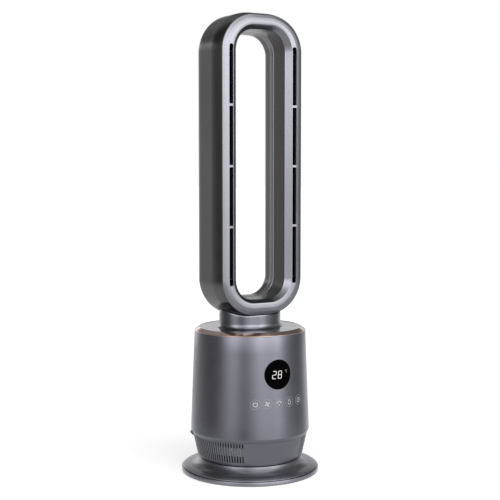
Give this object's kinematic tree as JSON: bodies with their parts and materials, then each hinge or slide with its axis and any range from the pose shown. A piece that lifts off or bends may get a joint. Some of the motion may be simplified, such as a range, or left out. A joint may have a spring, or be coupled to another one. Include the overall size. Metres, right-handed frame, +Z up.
{
  "type": "bladeless tower fan",
  "caption": "Tall bladeless fan: a hollow loop with long front air slots on a round body with intake slots, display and touch marks, turning on a disc foot.",
  "frame": {"origin": "centre of the underside of the rubber feet, on the body's axis", "axes": "+Z up along the turning axis, -Y towards the front (display side), +X to the fan's left seen from behind, which is the viewer's right in front of it"},
  "size_m": [0.2924, 0.2924, 0.967],
  "materials": {
    "foot_paint": "satin metallic gunmetal paint on moulded plastic",
    "body_paint": "satin metallic gunmetal paint on moulded plastic",
    "loop_paint": "satin metallic gunmetal paint on moulded plastic",
    "front_paint": "satin metallic silver grey paint on moulded plastic",
    "rose_gold": "polished rose gold anodised",
    "top_gloss": "polished metallic lacquer",
    "black_gloss": "black gloss",
    "black_plastic": "fine matt",
    "white_plastic": "natural acetal",
    "filter_media": "pleated non-woven media",
    "rubber": "matt",
    "steel": "zinc plated",
    "ballast": "rough cast",
    "board": "solder resist",
    "heater_alu": "bare fins",
    "motor_can": "zinc plated can"
  },
  "bodies": {
    "base": {"base_disc": "foot_paint", "base_foot": "foot_paint", "ballast_weight": "ballast", "rubber_feet": "rubber", "base_screws": "steel", "cord_bush": "rubber", "pivot_post": "steel", "pivot_screws": "steel", "fixed_gear": "white_plastic", "glide_ring": "white_plastic", "thrust_washer": "white_plastic", "circlip": "steel"},
    "fan_body": {"turntable": "black_plastic", "oscillation_motor": "motor_can", "motor_screws": "steel", "lower_housing": "body_paint", "side_filter": "filter_media", "side_filter_frames": "black_plastic", "power_board": "board", "bellmouth": "black_plastic", "motor_bearings": "steel", "fan_motor": "motor_can", "motor_mounts": "rubber", "blower_housing": "black_plastic", "vibration_mounts": "rubber", "mount_screws": "steel", "air_duct": "black_plastic", "heater_core": "heater_alu", "heater_frame": "white_plastic", "body_shell": "body_paint", "display_window": "black_gloss", "display_board": "board", "touch_board": "board", "control_board": "board", "housing_screws": "steel", "trim_ring": "rose_gold", "top_plate": "top_gloss", "loop_front_frame": "front_paint", "loop_rear_shell": "loop_paint", "nozzle_right": "black_plastic", "nozzle_left": "black_plastic", "neck": "loop_paint", "neck_collar": "black_plastic", "wiring_loom": "black_plastic"},
    "impeller": {"impeller": "black_plastic", "motor_shaft": "steel"},
    "drive_pinion": {"drive_pinion": "white_plastic", "pinion_shaft": "steel"},
    "rear_cover": {"rear_cover": "body_paint", "rear_filter": "filter_media", "rear_filter_frame": "black_plastic"}
  },
  "joints": [
    {"name": "oscillation", "type": "hinge", "parent": "base", "child": "fan_body", "pos_m": [0, 0, 0.0325], "axis": [0, 0, 1], "range_deg": [-40, 40]},
    {"name": "fan_spin", "type": "hinge", "parent": "fan_body", "child": "impeller", "pos_m": [0, 0, 0.118], "axis": [0, 0, 1], "continuous": true},
    {"name": "pinion_spin", "type": "hinge", "parent": "fan_body", "child": "drive_pinion", "pos_m": [0.03615, 0, 0.0175], "axis": [0, 0, 1], "range_deg": [-162, 162]},
    {"name": "cover_pull", "type": "slide", "parent": "fan_body", "child": "rear_cover", "axis": [0, 1, 0], "range_m": [0, 0.12]}
  ],
  "couplings": [
    {"joint": "pinion_spin", "follows": "oscillation", "ratio": 4}
  ]
}
